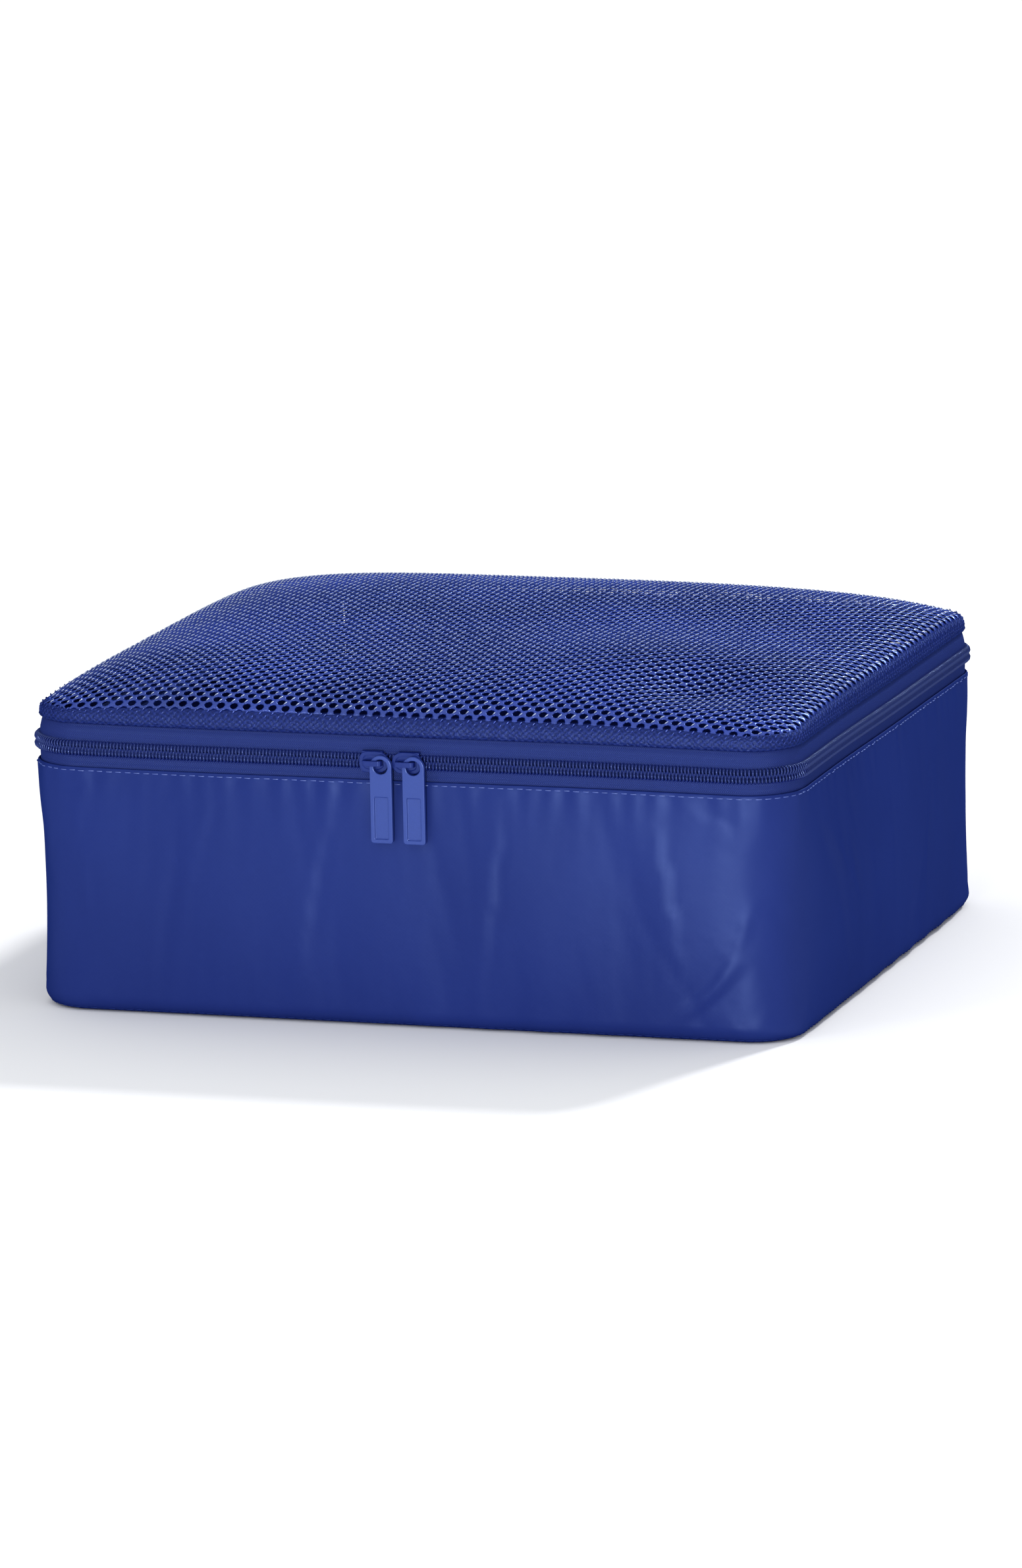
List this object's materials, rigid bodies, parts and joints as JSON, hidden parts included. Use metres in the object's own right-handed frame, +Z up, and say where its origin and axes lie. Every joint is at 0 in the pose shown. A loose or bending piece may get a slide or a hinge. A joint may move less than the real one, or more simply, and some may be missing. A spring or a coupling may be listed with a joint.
{
  "type": "packing cube",
  "caption": "Soft-sided nylon packing cube with a crowned mesh lid on a fabric hinge, closed by a coil zip with paired sliders and flat pulls.",
  "frame": {"origin": "centre of the base, on the face that the case rests on", "axes": "+X along the zipped front, +Y from the zipped front to the hinged back, +Z up"},
  "size_m": [0.338, 0.3079, 0.149],
  "materials": {
    "nylon": "satin",
    "mesh": "knitted mesh",
    "zip_tape": "woven",
    "binding": "woven",
    "thread": "twisted thread",
    "coil": "gloss",
    "slider": "satin enamel",
    "pull": "satin"
  },
  "bodies": {
    "shell": {"base_panel": "nylon", "side_wall": "nylon", "hinge_wall": "nylon", "base_binding": "binding", "wall_binding": "binding", "left_seam_binding": "binding", "right_seam_binding": "binding", "hinge_binding": "binding", "base_topstitch": "thread", "wall_topstitch": "thread", "lower_zipper_tape": "zip_tape", "lower_zipper_coil": "coil", "left_zipper_end_tab": "nylon", "right_zipper_end_tab": "nylon"},
    "lid": {"lid_mesh": "mesh", "lid_hem": "mesh", "lid_binding": "binding", "lid_topstitch": "thread", "hinge_flap": "nylon", "upper_zipper_tape": "zip_tape", "upper_zipper_coil": "coil"},
    "left_slider": {"left_slider_body": "slider", "left_slider_bridge": "slider"},
    "left_pull": {"left_pull": "pull"},
    "right_slider": {"right_slider_body": "slider", "right_slider_bridge": "slider"},
    "right_pull": {"right_pull": "pull"}
  },
  "joints": [
    {"name": "lid_hinge", "type": "hinge", "parent": "shell", "child": "lid", "pos_m": [0, 0.1516, 0.113], "axis": [-1, 0, 0], "range_deg": [0, 180]},
    {"name": "left_slider_slide", "type": "slide", "parent": "shell", "child": "left_slider", "axis": [-1, 0, 0], "range_m": [0, 0.124]},
    {"name": "right_slider_slide", "type": "slide", "parent": "shell", "child": "right_slider", "axis": [1, 0, 0], "range_m": [0, 0.132]},
    {"name": "left_pull_swing", "type": "hinge", "parent": "left_slider", "child": "left_pull", "pos_m": [-0.0075, -0.1541, 0.113], "axis": [0, 1, 0], "range_deg": [-3, 35]},
    {"name": "right_pull_swing", "type": "hinge", "parent": "right_slider", "child": "right_pull", "pos_m": [0.0067, -0.1541, 0.113], "axis": [0, 1, 0], "range_deg": [-170, 3]}
  ]
}
